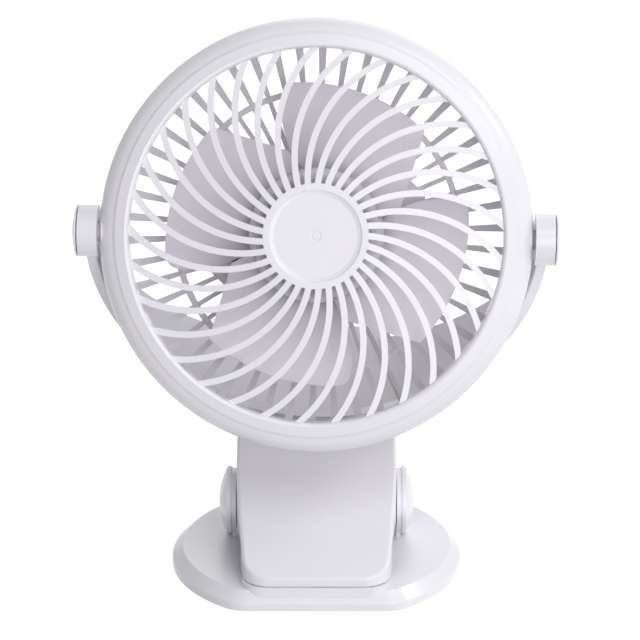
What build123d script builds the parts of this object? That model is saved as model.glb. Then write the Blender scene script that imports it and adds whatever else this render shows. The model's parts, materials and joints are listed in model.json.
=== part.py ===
from build123d import *
from math import cos, radians, sin, sqrt
import os

os.makedirs("parts", exist_ok=True)

# A rechargeable clip fan.  X is to the viewer's right, Y points away from the viewer, Z is up.
# The origin is the centre of the round base on the plane it stands on.  All lengths are in
# millimetres and all angles in degrees.

# ---------------------------------------------------------------- driving dimensions: general
shell_wall = 2.0          # moulded wall of the base and of the clamp
part_gap = 0.3            # air between pieces that move past each other
running_fit = 0.05        # radial play of a pin that turns in its bore
crown_flat = 0.4          # radius of the flat on the crown of a domed cap

# ---------------------------------------------------------------- driving dimensions: base
base_radius = 63.2
base_front_y = -53.4      # the disc is cut off straight at the front
base_corner_radius = 16.0
rim_bottom_z = 0.2
rim_top_z = 3.6
base_top_z = 8.0
bevel_width = 4.6         # sloping band from the rim up to the flat top
base_inset = 4.8          # wall of the base measured inwards from the rim
base_edge_radius = 0.8
anti_slip_thickness = 1.2
anti_slip_inset = 7.0
base_plate_thickness = 1.8
base_plate_play = 0.2
base_screw_radius = 44.0
base_screw_count = 4
base_screw_post_radius = 3.0

tray_width = 63.2
tray_length = 21.4
tray_front_y = -51.4
tray_top_z = 10.0
tray_corner_radius = 9.5
tray_rim = 1.6
tray_recess = 2.2
lower_pad_thickness = 1.2
lower_pad_corner_radius = 7.0
lower_pad_play = 0.4

# ---------------------------------------------------------------- driving dimensions: clamp hinge
hinge_y = 11.3
hinge_z = 23.3
axle_radius = 2.5
ear_radius = 14.1
ear_thickness = 2.0
ear_foot_width = 12.0
hinge_cap_radius = 14.9
hinge_cap_rim = 2.0
hinge_cap_dome = 3.7
hinge_cap_edge = 0.5
spring_wire_radius = 0.8
spring_pitch = 2.2
spring_turns = 4
spring_leg = 6.0

# ---------------------------------------------------------------- driving dimensions: upper jaw
jaw_lean = 30.0           # the long flat face of the clamp rises towards the back
toe_y = -50.6
toe_top_z = 14.0
toe_width = 60.8
jaw_width = 69.7
flare_end_y = -4.0        # from the toe to here the jaw widens
flare_blend_radius = 120.0
jaw_length = 140.0
lever_depth = 24.0
toe_corner_radius = 11.5
heel_corner_radius = 12.0
heel_round = 5.0
jaw_edge_radius = 1.6
barrel_radius = 12.0
throat_z = 21.0
throat_front_y = -29.0
land_back_y = -31.0
throat_round = 1.5
toe_seam_height = 0.8     # where the two halves of the jaw meet, at the toe ...
heel_seam_depth = 6.0     # ... and at the heel, below the flat face
hinge_hub_radius = 5.0
hinge_hub_length = 6.0
upper_pad_width = 48.0
upper_pad_length = 14.0
upper_pad_seat = 1.0      # how deep the pad sits in the toe
upper_pad_set_back = 2.6

jaw_screw_inset = 5.15    # from the side of the jaw
jaw_screw_near = 80.0     # along the face, from the toe
jaw_screw_far = 121.0
jaw_post_radius = 2.4
screw_shank_radius = 1.1
screw_head_radius = 2.1
screw_head_height = 1.2
screw_bite = 9.0

# ---------------------------------------------------------------- driving dimensions: electrics
cell_radius = 9.1
cell_length = 65.0
cell_gap = 0.6            # between the cell and the screw posts beside it
cell_to_board = 1.2
cell_depth = 12.6
cell_button_radius = 3.0
cell_button_height = 0.8
board_width = 36.0
board_height = 17.4
board_thickness = 1.6
board_play = 1.3          # between the board and the screw posts beside it
board_to_heel = 7.0       # from the back of the board to the outside of the heel
controls_depth = 13.0     # centre line of the controls below the flat face
socket_on_board = -14.0   # from the middle of the board, as the next two
socket_width = 7.6
socket_height = 2.8
socket_recess = 0.4
socket_wall = 0.4
socket_play = 0.4
button_on_board = 1.0
button_radius = 5.5
button_flange = 1.0
button_flange_thickness = 1.0
button_proud = 1.2
button_travel = 0.8
switch_radius = 1.6
lens_on_board = 11.0
lens_radius = 1.2
lens_proud = 0.2

# ---------------------------------------------------------------- driving dimensions: yoke
swivel_along = 105.4      # swivel axis, measured along the flat face from the toe
swivel_at_rest = -1.56    # the head is turned a little to one side
yoke_inner_radius = 92.4
yoke_thickness = 4.5
yoke_foot_width = 41.2
yoke_neck_width = 9.0
yoke_edge_radius = 0.8
yoke_seat_height = 1.6    # from the flat face of the clamp to the lowest point of the strap
yoke_seat_radius = 15.0
pivot_boss_radius = 10.8
pivot_boss_inner = 91.1
pivot_boss_outer = 99.2
pivot_pin_radius = 4.15
pivot_head_radius = 6.4
pivot_head_thickness = 1.6
pivot_recess_depth = 3.2
pivot_cap_groove = 0.5    # shadow line between the boss and the rim of its cap
pivot_cap_rim = 0.6
pivot_cap_dome = 1.7
post_radius = 6.0
post_bore_radius = 3.4
post_flange_radius = 9.0
post_flange_thickness = 1.4
post_collar_depth = 3.0   # boss under the flat face that the post turns in
post_collar_radius = 9.5
retainer_radius = 9.5
retainer_thickness = 1.4
post_end = 1.2

# ---------------------------------------------------------------- driving dimensions: fan head
head_raise = 16.0         # the head looks upwards
ring_radius = 90.5
ring_back_radius = 89.9   # the barrel narrows a little towards the back
ring_wall = 2.2
ring_front = 10.4
ring_shoulder = 3.0
ring_front_bulge = 1.3    # rise of the rounded front band above its chord
ring_back = -19.0
ring_back_shoulder = -15.0
ring_back_bulge = 0.7
ring_boss_radius = 7.0
ring_boss_inner = 82.6
seam_radius = 84.1
seam_gap = 0.06

flange_front = 11.4       # the front of the grille's rim falls from the lip to the flange
flange_bevel = 0.8
flange_thickness = 2.2
lip_front = 12.6
lip_round = 1.6
opening_radius = 77.7
grille_skirt = 2.0
grille_skirt_back = 3.0

rib_count = 33
rib_width = 2.6
rib_depth = 2.8
rib_start_angle = 1.0     # clockwise from the top, seen from the front
rib_middle_radius = 47.5
rib_middle_turn = 11.5
rib_end_turn = 31.0
grille_front = 14.1       # front of the ribs at the collar ...
grille_rim_front = 10.4   # ... and under the lip
collar_radius = 21.9
cap_radius = 19.2
collar_back = 9.0
cap_recess = 0.9
cap_thickness = 1.4
cap_play = 0.15
dimple_radius = 2.7
dimple_depth = 0.5
dimple_core_radius = 1.25

rear_rib_count = 50
rear_rib_start_angle = 0.55
rear_rib_rim_width = 3.9
rear_rib_ring_width = 2.0
rear_rim_thickness = 2.2
rear_rim_front = -12.0
rear_ring_radius = 60.8
rear_ring_width = 2.6
rear_ring_z = -30.0
rear_plate_radius = 37.8
rear_plate_z = -33.0
rear_crown_radius = 30.0  # the plate stands out behind within this radius
rear_crown_height = 2.0
rear_wall = 2.2

mount_length = 87.0       # the motor's mounting plate is a rounded rectangle
mount_width = 50.0
mount_corner_radius = 4.0
mount_thickness = 1.8
mount_lean = 41.0         # clockwise from the top to its long way
mount_screw_radius = 37.6
mount_screw_angles = (74.8, 253.0)
mount_clear = 0.5
mount_cup_wall = 1.6
mount_cup_height = 6.0
motor_radius = 12.0
motor_length = 18.0
motor_nose_radius = 4.0
motor_nose_length = 1.2
bush_radius = 3.0
bush_length = 2.4
shaft_radius = 1.1
shaft_in_motor = 12.0
lead_radius = 0.9
lead_start = 16.0         # the motor lead runs outwards along one rib of the rear grille
lead_step_start = 28.5    # where it steps down from the motor's mounting plate ...
lead_step_end = 36.0      # ... to the middle plate of the rear grille
lead_end = 84.2
lead_rib = 21
lead_clear = 0.1

hub_radius = 28.2
hub_front = 5.4
hub_back = -16.0
hub_wall = 1.8
hub_shoulder = 5.5
hub_boss_radius = 4.0
hub_boss_length = 6.5
blade_count = 4
blade_tip_radius = 62.8
blade_horn = 2.4          # the tip stands out this much further at the leading edge
blade_thickness = 1.6
blade_lead_angle = 71.0   # leading edge at mid span, clockwise from the top
blade_root_sweep = 6.6    # the leading edge lies this much further on at the hub ...
blade_tip_sweep = 6.0     # ... and at the tip
blade_trail_angle = 135.0   # trailing corner at the tip, before its rounding
blade_heel_angle = 161.0    # trailing corner near the hub
blade_heel_radius = 37.0
blade_trail_root = 163.5
blade_lead_corner = 6.0
blade_trail_corner = 28.0
blade_heel_corner = 4.0
blade_depth = 15.0        # front-to-back depth of a blade over its turn
blade_camber = 2.0

# ---------------------------------------------------------------- reference planes and axes
lean = radians(jaw_lean)
face_normal = Vector(0, -sin(lean), cos(lean))
face = Plane(origin=(0, toe_y, toe_top_z), x_dir=(1, 0, 0), z_dir=face_normal)
hinge_axis = Axis((0, hinge_y, hinge_z), (1, 0, 0))
hinge_section = Plane(origin=(0, hinge_y, hinge_z), x_dir=(1, 0, 0), z_dir=(0, -1, 0))

yoke_outer_radius = yoke_inner_radius + yoke_thickness
pivot = face.from_local_coords((0, swivel_along, yoke_outer_radius + yoke_seat_height))
turn = Axis((0, 0, 0), face_normal)
tilt_direction = Vector(1, 0, 0).rotate(turn, swivel_at_rest)
strap_direction = face.y_dir.rotate(turn, swivel_at_rest)
facing = Vector(0, -cos(radians(head_raise)), sin(radians(head_raise))).rotate(turn, swivel_at_rest)

yoke = Plane(origin=pivot, x_dir=tilt_direction, z_dir=strap_direction)    # local +Y goes down
yoke_side = Plane(origin=pivot, x_dir=strap_direction, z_dir=tilt_direction)
head = Plane(origin=pivot, x_dir=tilt_direction, z_dir=facing)
head_section = Plane(origin=pivot, x_dir=tilt_direction, z_dir=-head.y_dir)
fan_axis = Axis(pivot, facing)
tilt_axis = Axis(pivot, tilt_direction)


def in_profile(along, above):
    """Y and Z of a point given along and above the clamp's flat face."""
    point = face.from_local_coords((0, along, above))
    return point.Y, point.Z


def clock(radius, angle):
    """X and Y on the head of a point at an angle clockwise from the top."""
    return radius * sin(radians(angle)), radius * cos(radians(angle))


def bulge_point(start, end, bulge):
    """The middle of an arc that stands out by a bulge to the left of its chord."""
    across, up = end[0] - start[0], end[1] - start[1]
    chord = sqrt(across**2 + up**2)
    return (start[0] + end[0]) / 2 - up / chord * bulge, (start[1] + end[1]) / 2 + across / chord * bulge


def crown_drop(radius, rise):
    """How far a spherical crown of a radius and rise has dropped at half its radius."""
    sphere_radius = (radius**2 + rise**2) / (2 * rise)
    return sphere_radius - sqrt(sphere_radius**2 - (radius / 2) ** 2)


# ================================================================ base
def base_outline(inset, height):
    """The base's plan, a disc cut straight at the front, drawn inset at a height."""
    with BuildSketch(Plane.XY.offset(height)) as outline:
        Circle(base_radius)
        with Locations((0, base_front_y + base_radius)):
            Rectangle(2 * base_radius, 2 * base_radius, mode=Mode.INTERSECT)
        fillet(outline.vertices().group_by(Axis.Y)[0], base_corner_radius)
        if inset:
            offset(amount=-inset)
    return outline.sketch


tray_centre_y = tray_front_y + tray_length / 2
ear_inner_x = jaw_width / 2 + part_gap
ear_outer_x = ear_inner_x + ear_thickness
plate_bottom_z = anti_slip_thickness
plate_top_z = plate_bottom_z + base_plate_thickness
base_ceiling_z = base_top_z - shell_wall

with BuildPart() as base_shell:
    extrude(base_outline(0, rim_bottom_z), amount=base_top_z - rim_bottom_z)
    top = base_shell.faces().sort_by(Axis.Z)[-1]
    chamfer(top.edges(), length=bevel_width, length2=base_top_z - rim_top_z, reference=top)
    rim_edges = base_shell.edges().filter_by(lambda edge: abs(edge.center().Z - rim_top_z) < 0.01)
    fillet(rim_edges, base_edge_radius)
    extrude(base_outline(base_inset, rim_bottom_z), amount=base_ceiling_z - rim_bottom_z, mode=Mode.SUBTRACT)
    with BuildSketch(Plane.XY.offset(rim_top_z)) as tray_plan:
        with Locations((0, tray_centre_y)):
            RectangleRounded(tray_width, tray_length, tray_corner_radius)
    extrude(amount=tray_top_z - rim_top_z)
    with BuildSketch(Plane.XY.offset(tray_top_z)) as tray_hollow:
        with Locations((0, tray_centre_y)):
            RectangleRounded(
                tray_width - 2 * tray_rim, tray_length - 2 * tray_rim, tray_corner_radius - tray_rim
            )
    extrude(amount=-tray_recess, mode=Mode.SUBTRACT)
    for side in (-1, 1):
        with BuildSketch(Plane.YZ.offset(side * ear_inner_x)):
            with Locations((hinge_y, hinge_z)):
                Circle(ear_radius)
            with Locations((hinge_y, (hinge_z + base_ceiling_z) / 2)):
                Rectangle(ear_foot_width, hinge_z - base_ceiling_z)
        extrude(amount=side * ear_thickness)
    with BuildSketch(Plane.XY.offset(plate_top_z)):
        with PolarLocations(base_screw_radius, base_screw_count, start_angle=45):
            Circle(base_screw_post_radius)
    extrude(amount=base_ceiling_z - plate_top_z)
    with BuildSketch(Plane.XY.offset(plate_top_z)):
        with PolarLocations(base_screw_radius, base_screw_count, start_angle=45):
            Circle(screw_shank_radius)
    extrude(amount=base_ceiling_z - plate_top_z, mode=Mode.SUBTRACT)
    with BuildSketch(Plane.YZ.offset(-ear_outer_x)):
        with Locations((hinge_y, hinge_z)):
            Circle(axle_radius)
    extrude(amount=2 * ear_outer_x, mode=Mode.SUBTRACT)
base_shell.part.label = "base_shell"
export_step(base_shell.part, "parts/base_shell.step")

with BuildPart() as base_plate:
    extrude(base_outline(base_inset + base_plate_play, plate_bottom_z), amount=base_plate_thickness)
    with BuildSketch(Plane.XY.offset(plate_bottom_z)):
        with PolarLocations(base_screw_radius, base_screw_count, start_angle=45):
            Circle(screw_head_radius)
    extrude(amount=screw_head_height, mode=Mode.SUBTRACT)
    with BuildSketch(Plane.XY.offset(plate_bottom_z)):
        with PolarLocations(base_screw_radius, base_screw_count, start_angle=45):
            Circle(screw_shank_radius)
    extrude(amount=base_plate_thickness, mode=Mode.SUBTRACT)
base_plate.part.label = "base_plate"
export_step(base_plate.part, "parts/base_plate.step")

with BuildPart() as base_screws:
    with BuildSketch(Plane.XY.offset(plate_bottom_z)):
        with PolarLocations(base_screw_radius, base_screw_count, start_angle=45):
            Circle(screw_head_radius)
    extrude(amount=screw_head_height)
    with BuildSketch(Plane.XY.offset(plate_bottom_z + screw_head_height)):
        with PolarLocations(base_screw_radius, base_screw_count, start_angle=45):
            Circle(screw_shank_radius)
    extrude(amount=base_ceiling_z - plate_bottom_z - screw_head_height)
base_screws.part.label = "base_screws"
export_step(base_screws.part, "parts/base_screws.step")

with BuildPart() as anti_slip_pad:
    extrude(base_outline(anti_slip_inset, 0), amount=anti_slip_thickness)
anti_slip_pad.part.label = "anti_slip_pad"
export_step(anti_slip_pad.part, "parts/anti_slip_pad.step")

with BuildPart() as lower_jaw_pad:
    with BuildSketch(Plane.XY.offset(tray_top_z - tray_recess)):
        with Locations((0, tray_centre_y)):
            RectangleRounded(
                tray_width - 2 * (tray_rim + lower_pad_play),
                tray_length - 2 * (tray_rim + lower_pad_play),
                lower_pad_corner_radius,
            )
    extrude(amount=lower_pad_thickness)
lower_jaw_pad.part.label = "lower_jaw_pad"
export_step(lower_jaw_pad.part, "parts/lower_jaw_pad.step")

with BuildPart() as hinge_axle:
    with BuildSketch(Plane.YZ.offset(-ear_outer_x)):
        with Locations((hinge_y, hinge_z)):
            Circle(axle_radius)
    extrude(amount=2 * ear_outer_x)
hinge_axle.part.label = "hinge_axle"
export_step(hinge_axle.part, "parts/hinge_axle.step")


def hinge_cap(side):
    """A domed cap on the outside of one ear of the base."""
    rim_x = ear_outer_x + hinge_cap_rim
    crown_x = rim_x + hinge_cap_dome
    half_x = crown_x - crown_drop(hinge_cap_radius, hinge_cap_dome)
    with BuildPart() as cap:
        with BuildSketch(hinge_section):
            with BuildLine():
                Polyline(
                    (side * crown_x, crown_flat),
                    (side * crown_x, 0),
                    (side * ear_outer_x, 0),
                    (side * ear_outer_x, hinge_cap_radius - hinge_cap_edge),
                    (side * (ear_outer_x + hinge_cap_edge), hinge_cap_radius),
                    (side * rim_x, hinge_cap_radius),
                )
                ThreePointArc(
                    (side * rim_x, hinge_cap_radius),
                    (side * half_x, hinge_cap_radius / 2),
                    (side * crown_x, crown_flat),
                )
            make_face()
        revolve(axis=hinge_axis)
    return cap


hinge_cap_left = hinge_cap(-1)
hinge_cap_left.part.label = "hinge_cap_left"
export_step(hinge_cap_left.part, "parts/hinge_cap_left.step")

hinge_cap_right = hinge_cap(1)
hinge_cap_right.part.label = "hinge_cap_right"
export_step(hinge_cap_right.part, "parts/hinge_cap_right.step")

spring_length = spring_pitch * spring_turns

with BuildPart() as torsion_spring:
    with BuildLine() as spring_path:
        coil = Helix(
            pitch=spring_pitch,
            height=spring_length,
            radius=axle_radius + part_gap + spring_wire_radius,
            center=(-spring_length / 2, hinge_y, hinge_z),
            direction=(1, 0, 0),
        )
        Line((coil @ 0) - (coil % 0) * spring_leg, coil @ 0)
        Line(coil @ 1, (coil @ 1) + (coil % 1) * spring_leg)
    with BuildSketch(Plane(origin=spring_path.line @ 0, z_dir=spring_path.line % 0)):
        Circle(spring_wire_radius)
    sweep(path=spring_path.line, is_frenet=True)
torsion_spring.part.label = "torsion_spring"
export_step(torsion_spring.part, "parts/torsion_spring.step")

# ================================================================ upper jaw
land_z = tray_top_z + part_gap
floor_depth = lever_depth - shell_wall
hinge_along = face.to_local_coords(Vector(0, hinge_y, hinge_z)).Y


def jaw_volume(inset):
    """The clamp's upper body: its side profile cut to its plan, both drawn inset."""
    with BuildPart() as volume:
        with BuildSketch(Plane.YZ) as side:
            with BuildLine():
                Polyline(
                    (toe_y, land_z),
                    (toe_y, toe_top_z),
                    in_profile(jaw_length, 0),
                    in_profile(jaw_length, -lever_depth),
                    in_profile(hinge_along, -lever_depth),
                    (hinge_y - barrel_radius / 2, throat_z),
                    (throat_front_y, throat_z),
                    (land_back_y, land_z),
                    close=True,
                )
            make_face()
            fillet(side.vertices().sort_by(Axis.X)[-1], heel_round)
            throat_corner = side.vertices().sort_by_distance((0, throat_front_y, throat_z))[0]
            fillet(throat_corner, throat_round)
            with Locations((hinge_y, hinge_z)):
                Circle(barrel_radius)
            if inset:
                offset(amount=-inset)
        extrude(amount=jaw_width, both=True)
        with BuildSketch(Plane.XY) as plan:
            with BuildLine():
                Polyline(
                    (-toe_width / 2, toe_y),
                    (-jaw_width / 2, flare_end_y),
                    (-jaw_width / 2, jaw_length),
                    (jaw_width / 2, jaw_length),
                    (jaw_width / 2, flare_end_y),
                    (toe_width / 2, toe_y),
                    close=True,
                )
            make_face()
            toe_corners = plan.vertices().group_by(Axis.Y)[0]
            fillet(toe_corners, toe_corner_radius)
            flare_ends = plan.vertices().filter_by(lambda vertex: abs(vertex.Y - flare_end_y) < 0.01)
            fillet(flare_ends, flare_blend_radius)
            if inset:
                offset(amount=-inset)
        extrude(amount=jaw_length, mode=Mode.INTERSECT)
        with BuildSketch(face.offset(lever_depth)) as heel_plan:
            RectangleRounded(
                jaw_width - 2 * inset, 2 * (jaw_length - inset), heel_corner_radius - inset
            )
        extrude(amount=-jaw_length, mode=Mode.INTERSECT)
    return volume.part


seam_toe_z = land_z + toe_seam_height
seam_heel = in_profile(jaw_length, -heel_seam_depth)
seam = Plane(
    origin=(0, toe_y, seam_toe_z),
    x_dir=(1, 0, 0),
    z_dir=Vector(0, seam_toe_z - seam_heel[1], seam_heel[0] - toe_y),
)
heel = Plane(
    origin=face.from_local_coords((0, jaw_length, -controls_depth)), x_dir=(1, 0, 0), z_dir=face.y_dir
)
jaw_screw_middle = (jaw_screw_near + jaw_screw_far) / 2
jaw_screw_pitch = jaw_screw_far - jaw_screw_near
jaw_screw_across = jaw_width - 2 * jaw_screw_inset
post_inner_x = jaw_screw_across / 2 - jaw_post_radius
board_x = post_inner_x - board_play - board_width / 2
socket_x = board_x + socket_on_board
button_x = board_x + button_on_board
lens_x = board_x + lens_on_board
upper_pad_bottom_z = tray_top_z - tray_recess + lower_pad_thickness + part_gap
cheek_inner_x = jaw_width / 2 - shell_wall

with BuildPart() as jaw_top_shell:
    add(jaw_volume(0))
    flat_face = jaw_top_shell.faces().sort_by(Axis((0, 0, 0), face_normal))[-1]
    fillet(flat_face.edges(), jaw_edge_radius)
    add(jaw_volume(shell_wall), mode=Mode.SUBTRACT)
    split(bisect_by=seam, keep=Keep.TOP)
    with BuildSketch(face.offset(-shell_wall / 2)):
        with Locations((0, jaw_screw_middle)):
            with GridLocations(jaw_screw_across, jaw_screw_pitch, 2, 2):
                Circle(jaw_post_radius)
    extrude(amount=shell_wall / 2 - floor_depth)
    with BuildSketch(face.offset(-floor_depth)):
        with Locations((0, jaw_screw_middle)):
            with GridLocations(jaw_screw_across, jaw_screw_pitch, 2, 2):
                Circle(screw_shank_radius)
    extrude(amount=screw_bite, mode=Mode.SUBTRACT)
    with BuildSketch(face.offset(-shell_wall / 2)):
        with Locations((0, swivel_along)):
            Circle(post_collar_radius)
    extrude(amount=-shell_wall / 2 - post_collar_depth)
    with BuildSketch(face):
        with Locations((0, swivel_along)):
            Circle(post_radius + running_fit)
    extrude(amount=-lever_depth / 2, mode=Mode.SUBTRACT)
jaw_top_shell.part.label = "jaw_top_shell"
export_step(jaw_top_shell.part, "parts/jaw_top_shell.step")

with BuildPart() as jaw_bottom_shell:
    add(jaw_volume(0))
    add(jaw_volume(shell_wall), mode=Mode.SUBTRACT)
    split(bisect_by=seam, keep=Keep.BOTTOM)
    for side in (-1, 1):
        with BuildSketch(Plane.YZ.offset(side * (cheek_inner_x + shell_wall / 2))):
            with Locations((hinge_y, hinge_z)):
                Circle(hinge_hub_radius)
        extrude(amount=-side * (hinge_hub_length + shell_wall / 2))
    with BuildSketch(Plane.YZ.offset(-jaw_width / 2)):
        with Locations((hinge_y, hinge_z)):
            Circle(axle_radius + running_fit)
    extrude(amount=jaw_width, mode=Mode.SUBTRACT)
    with BuildSketch(face.offset(-lever_depth)):
        with Locations((0, jaw_screw_middle)):
            with GridLocations(jaw_screw_across, jaw_screw_pitch, 2, 2):
                Circle(screw_head_radius)
    extrude(amount=screw_head_height, mode=Mode.SUBTRACT)
    with BuildSketch(face.offset(-lever_depth)):
        with Locations((0, jaw_screw_middle)):
            with GridLocations(jaw_screw_across, jaw_screw_pitch, 2, 2):
                Circle(screw_shank_radius)
    extrude(amount=shell_wall, mode=Mode.SUBTRACT)
    with BuildSketch(Plane.XY.offset(land_z)):
        with Locations((0, toe_y + upper_pad_set_back + upper_pad_length / 2)):
            Rectangle(upper_pad_width, upper_pad_length)
    extrude(amount=upper_pad_seat, mode=Mode.SUBTRACT)
    with BuildSketch(heel):
        with Locations((socket_x, 0)):
            SlotOverall(socket_width + 2 * socket_play, socket_height + 2 * socket_play)
        with Locations((button_x, 0)):
            Circle(button_radius + part_gap)
        with Locations((lens_x, 0)):
            Circle(lens_radius)
    extrude(amount=-2 * shell_wall, mode=Mode.SUBTRACT)
jaw_bottom_shell.part.label = "jaw_bottom_shell"
export_step(jaw_bottom_shell.part, "parts/jaw_bottom_shell.step")

with BuildPart() as upper_jaw_pad:
    with BuildSketch(Plane.XY.offset(upper_pad_bottom_z)):
        with Locations((0, toe_y + upper_pad_set_back + upper_pad_length / 2)):
            Rectangle(upper_pad_width, upper_pad_length)
    extrude(amount=land_z + upper_pad_seat - upper_pad_bottom_z)
upper_jaw_pad.part.label = "upper_jaw_pad"
export_step(upper_jaw_pad.part, "parts/upper_jaw_pad.step")

with BuildPart() as jaw_screws:
    with BuildSketch(face.offset(-lever_depth)):
        with Locations((0, jaw_screw_middle)):
            with GridLocations(jaw_screw_across, jaw_screw_pitch, 2, 2):
                Circle(screw_head_radius)
    extrude(amount=screw_head_height)
    with BuildSketch(face.offset(screw_head_height - lever_depth)):
        with Locations((0, jaw_screw_middle)):
            with GridLocations(jaw_screw_across, jaw_screw_pitch, 2, 2):
                Circle(screw_shank_radius)
    extrude(amount=shell_wall - screw_head_height + screw_bite)
jaw_screws.part.label = "jaw_screws"
export_step(jaw_screws.part, "parts/jaw_screws.step")

# ================================================================ electrics in the upper jaw
cell_x = cell_gap + cell_radius - post_inner_x
cell_start = jaw_length - board_to_heel - cell_to_board - cell_button_height - cell_length
cell_end = Plane(
    origin=face.from_local_coords((cell_x, cell_start, -cell_depth)), x_dir=(1, 0, 0), z_dir=face.y_dir
)

with BuildPart() as battery_cell:
    with BuildSketch(cell_end):
        Circle(cell_radius)
    extrude(amount=cell_length)
    with BuildSketch(cell_end.offset(cell_length)):
        Circle(cell_button_radius)
    extrude(amount=cell_button_height)
battery_cell.part.label = "battery_cell"
export_step(battery_cell.part, "parts/battery_cell.step")

# Depths below are measured forwards from the outside of the heel.
board_front = board_to_heel - board_thickness
flange_back = shell_wall + part_gap + button_flange_thickness
switch_height = board_front - flange_back - button_travel - part_gap

with BuildPart() as control_board:
    with BuildSketch(heel.offset(-board_to_heel)):
        with Locations((board_x, 0)):
            Rectangle(board_width, board_height)
    extrude(amount=board_thickness)
    with BuildSketch(heel.offset(-board_front)):
        with Locations((button_x, 0)):
            Circle(switch_radius)
    extrude(amount=switch_height)
control_board.part.label = "control_board"
export_step(control_board.part, "parts/control_board.step")

with BuildPart() as usb_socket:
    with BuildSketch(heel.offset(-board_front)):
        with Locations((socket_x, 0)):
            SlotOverall(socket_width, socket_height)
    extrude(amount=board_front - socket_recess)
    with BuildSketch(heel.offset(-socket_recess)):
        with Locations((socket_x, 0)):
            SlotOverall(socket_width - 2 * socket_wall, socket_height - 2 * socket_wall)
    extrude(amount=shell_wall - board_front, mode=Mode.SUBTRACT)
usb_socket.part.label = "usb_socket"
export_step(usb_socket.part, "parts/usb_socket.step")

with BuildPart() as status_lens:
    with BuildSketch(heel.offset(-board_front)):
        with Locations((lens_x, 0)):
            Circle(lens_radius)
    extrude(amount=board_front + lens_proud)
status_lens.part.label = "status_lens"
export_step(status_lens.part, "parts/status_lens.step")

with BuildPart() as power_button:
    with BuildSketch(heel.offset(-flange_back)):
        with Locations((button_x, 0)):
            Circle(button_radius + button_flange)
    extrude(amount=button_flange_thickness)
    with BuildSketch(heel.offset(button_flange_thickness - flange_back)):
        with Locations((button_x, 0)):
            Circle(button_radius)
    extrude(amount=flange_back - button_flange_thickness + button_proud)
    crown = power_button.faces().sort_by(Axis((0, 0, 0), heel.z_dir))[-1]
    fillet(crown.edges(), button_proud / 2)
power_button.part.label = "power_button"
export_step(power_button.part, "parts/power_button.step")

# ================================================================ yoke
strap_top = yoke_seat_height + yoke_thickness

with BuildPart() as yoke_frame:
    with BuildSketch(yoke):
        Circle(yoke_outer_radius)
        Circle(yoke_inner_radius, mode=Mode.SUBTRACT)
        with Locations((0, yoke_outer_radius / 2)):
            Rectangle(2 * yoke_outer_radius, yoke_outer_radius, mode=Mode.INTERSECT)
    extrude(amount=yoke_foot_width, both=True)
    with BuildSketch(yoke_side) as taper:
        with BuildLine():
            Polyline(
                (-yoke_neck_width / 2, 0),
                (yoke_neck_width / 2, 0),
                (yoke_foot_width / 2, -yoke_outer_radius),
                (-yoke_foot_width / 2, -yoke_outer_radius),
                close=True,
            )
        make_face()
    extrude(amount=yoke_outer_radius, both=True, mode=Mode.INTERSECT)
    long_edges = yoke_frame.edges().filter_by(lambda edge: edge.length > yoke_outer_radius)
    fillet(long_edges, yoke_edge_radius)
    for side in (-1, 1):
        with BuildSketch(yoke_side.offset(side * pivot_boss_inner)):
            Circle(pivot_boss_radius)
        extrude(amount=side * (pivot_boss_outer - pivot_boss_inner))
        with BuildSketch(yoke_side.offset(side * pivot_boss_inner)):
            Circle(pivot_pin_radius + running_fit)
        extrude(amount=side * (pivot_boss_outer - pivot_boss_inner), mode=Mode.SUBTRACT)
        with BuildSketch(yoke_side.offset(side * pivot_boss_outer)):
            Circle(pivot_head_radius + 2 * part_gap)
        extrude(amount=-side * pivot_recess_depth, mode=Mode.SUBTRACT)
    with BuildSketch(face.offset(part_gap)):
        with Locations((0, swivel_along)):
            Circle(yoke_seat_radius)
    extrude(amount=yoke_seat_height - part_gap + yoke_thickness / 2)
    with BuildSketch(face):
        with Locations((0, swivel_along)):
            Circle(post_radius)
    extrude(amount=strap_top, mode=Mode.SUBTRACT)
    with BuildSketch(face.offset(strap_top - post_flange_thickness)):
        with Locations((0, swivel_along)):
            Circle(post_flange_radius)
    extrude(amount=2 * post_flange_thickness, mode=Mode.SUBTRACT)
yoke_frame.part.label = "yoke_frame"
export_step(yoke_frame.part, "parts/yoke_frame.step")

retainer_top = -(shell_wall + post_collar_depth + part_gap)
post_bottom = retainer_top - retainer_thickness - post_end

with BuildPart() as swivel_post:
    with BuildSketch(face.offset(post_bottom)):
        with Locations((0, swivel_along)):
            Circle(post_radius)
    extrude(amount=strap_top - post_bottom)
    with BuildSketch(face.offset(strap_top - post_flange_thickness)):
        with Locations((0, swivel_along)):
            Circle(post_flange_radius)
    extrude(amount=post_flange_thickness)
    with BuildSketch(face.offset(post_bottom)):
        with Locations((0, swivel_along)):
            Circle(post_bore_radius)
    extrude(amount=strap_top - post_bottom, mode=Mode.SUBTRACT)
swivel_post.part.label = "swivel_post"
export_step(swivel_post.part, "parts/swivel_post.step")

with BuildPart() as swivel_retainer:
    with BuildSketch(face.offset(retainer_top)):
        with Locations((0, swivel_along)):
            Circle(retainer_radius)
            Circle(post_radius, mode=Mode.SUBTRACT)
    extrude(amount=-retainer_thickness)
swivel_retainer.part.label = "swivel_retainer"
export_step(swivel_retainer.part, "parts/swivel_retainer.step")


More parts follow.
